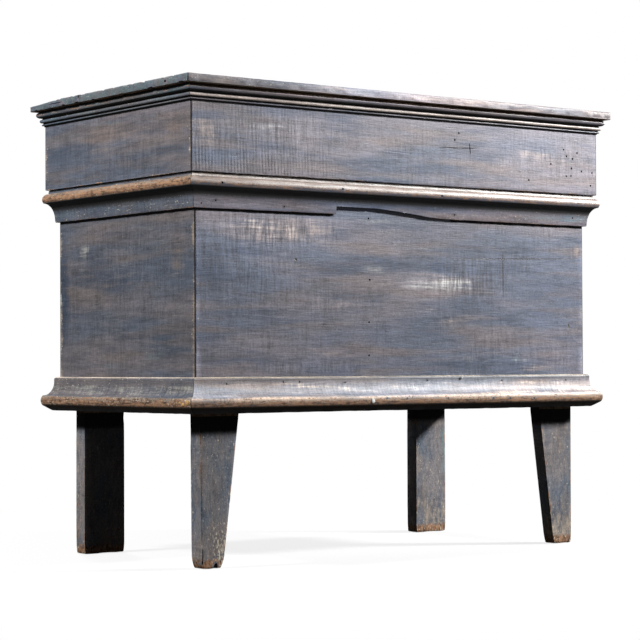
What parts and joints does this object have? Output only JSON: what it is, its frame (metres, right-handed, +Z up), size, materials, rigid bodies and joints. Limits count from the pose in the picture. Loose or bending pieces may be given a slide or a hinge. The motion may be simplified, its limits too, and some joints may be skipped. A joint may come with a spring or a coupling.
{
  "type": "blanket chest",
  "caption": "Painted board chest on plank legs, with mitred mouldings and a deep lid that hinges up at the back over a divided case.",
  "frame": {"origin": "on the floor, under the middle of the chest", "axes": "+X to the right along the front, +Y to the back, +Z up; the front faces -Y"},
  "size_m": [1.144, 0.622, 0.971],
  "materials": {
    "painted_board": "worn slate-blue paint over brown wood, satin",
    "painted_moulding": "slate-blue paint rubbed through to brown wood on the beads, satin",
    "painted_leg": "worn slate-blue paint over brown wood, matt",
    "bare_wood": "bare aged wood, matt",
    "forged_iron": "dark oxidised iron"
  },
  "bodies": {
    "case": {"front_board": "painted_board", "back_board": "painted_board", "left_end_board": "painted_board", "right_end_board": "painted_board", "front_left_leg": "painted_leg", "front_right_leg": "painted_leg", "rear_left_leg": "painted_leg", "rear_right_leg": "painted_leg", "bottom_plank_1": "bare_wood", "bottom_plank_2": "bare_wood", "bottom_plank_3": "bare_wood", "left_bottom_cleat": "bare_wood", "right_bottom_cleat": "bare_wood", "divider": "bare_wood", "base_moulding_front": "painted_moulding", "base_moulding_back": "painted_moulding", "base_moulding_left": "painted_moulding", "base_moulding_right": "painted_moulding", "waist_moulding_front": "painted_moulding", "waist_moulding_back": "painted_moulding", "waist_moulding_left": "painted_moulding", "waist_moulding_right": "painted_moulding", "left_hinge_lower_leaf": "forged_iron", "right_hinge_lower_leaf": "forged_iron", "left_hinge_pin": "forged_iron", "right_hinge_pin": "forged_iron"},
    "lid": {"lid_front_board": "painted_board", "lid_back_board": "painted_board", "lid_left_end_board": "painted_board", "lid_right_end_board": "painted_board", "lid_top_front_plank": "painted_board", "lid_top_rear_plank": "painted_board", "cornice_moulding_front": "painted_moulding", "cornice_moulding_back": "painted_moulding", "cornice_moulding_left": "painted_moulding", "cornice_moulding_right": "painted_moulding", "left_hinge_upper_leaf": "forged_iron", "right_hinge_upper_leaf": "forged_iron"}
  },
  "joints": [
    {"name": "lid_hinge", "type": "hinge", "parent": "case", "child": "lid", "pos_m": [0, 0.2925, 0.78255], "axis": [-1, 0, 0], "range_deg": [0, 100]}
  ]
}
